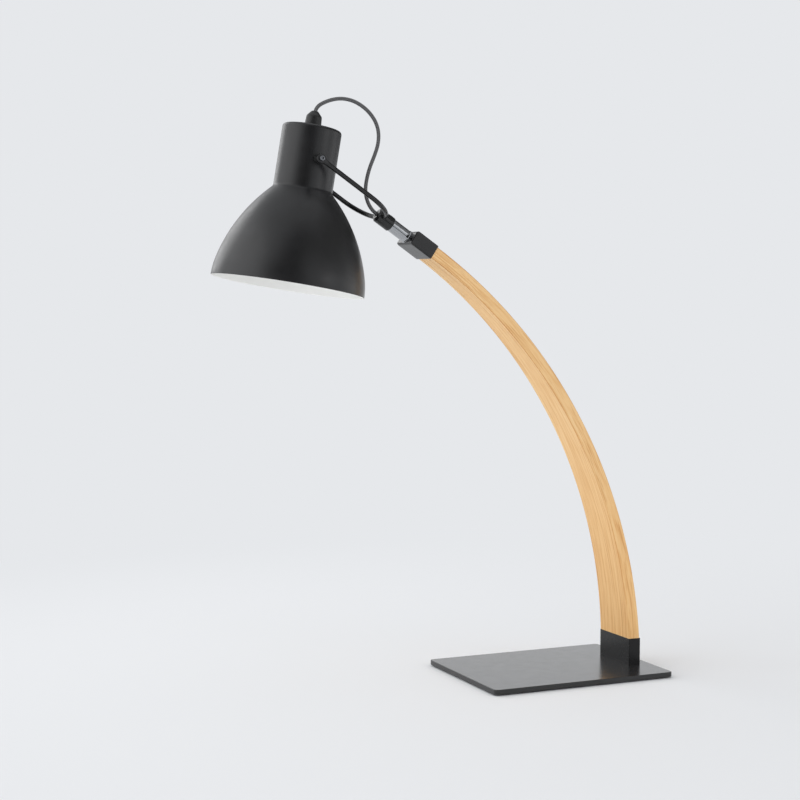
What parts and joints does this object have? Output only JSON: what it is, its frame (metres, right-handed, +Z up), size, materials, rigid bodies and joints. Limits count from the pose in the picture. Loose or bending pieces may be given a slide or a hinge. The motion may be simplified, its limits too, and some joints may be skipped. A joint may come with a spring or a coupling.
{
  "type": "desk lamp",
  "caption": "Desk lamp with a bent wooden arm on a flat steel base, a bell shade tilting in a rod yoke and a yoke that swivels on a short tube.",
  "frame": {"origin": "centre of the underside of the base, on the face that rests on the table", "axes": "+Z up; +X along the base's long side towards the foot of the arm, so the shade hangs out over -X; +Y across the base, to the lamp's left seen from behind the arm"},
  "size_m": [0.4546, 0.15, 0.5704],
  "materials": {
    "black_coat": "satin black powder coat on steel",
    "shade_coat": "satin black outside and matte white inside, over spun aluminium",
    "ash": "clear lacquered bent ash",
    "chrome": "bright chrome plate",
    "plated_steel": "zinc plated steel",
    "black_plastic": "matte black moulding",
    "holder_plastic": "matte black heat-resistant moulding",
    "holder_ceramic": "off-white insulator",
    "contact_brass": "bare brass",
    "cord_braid": "black textile braid over a two-core lead",
    "black_rubber": "matte black rubber",
    "foam": "black non-slip sheet"
  },
  "bodies": {
    "stand": {"base_pad": "foam", "base_plate": "black_coat", "foot_socket": "black_coat", "foot_screws": "plated_steel", "cord_grommet": "black_rubber", "arm": "ash", "channel_strip": "ash", "arm_lead": "cord_braid", "arm_cap": "black_coat", "cap_screws": "black_coat", "swivel_tube": "chrome", "tube_sleeve": "chrome"},
    "yoke": {"hub": "black_coat", "cord_bush": "black_plastic", "swivel_screw": "plated_steel", "yoke_arm_left": "black_coat", "yoke_arm_right": "black_coat", "cord_loop": "cord_braid"},
    "head": {"shade": "shade_coat", "cord_grip": "black_plastic", "nipple": "plated_steel", "nipple_nut": "plated_steel", "holder_cap": "holder_plastic", "holder_shell": "holder_plastic", "holder_insert": "holder_ceramic", "screw_shell": "contact_brass", "centre_contact": "contact_brass", "holder_lead": "cord_braid", "pivot_spacers": "black_plastic", "pivot_washers": "black_coat", "pivot_screws": "plated_steel", "pivot_nuts": "plated_steel"}
  },
  "joints": [
    {"name": "yoke_swivel", "type": "hinge", "parent": "stand", "child": "yoke", "pos_m": [-0.26292, 0, 0.50866], "axis": [-0.8281, 0, 0.5606], "range_deg": [-90, 90]},
    {"name": "head_tilt", "type": "hinge", "parent": "yoke", "child": "head", "pos_m": [-0.26292, 0, 0.50866], "axis": [0, 1, 0], "range_deg": [-20, 90], "deforming": ["cord_loop"]}
  ]
}
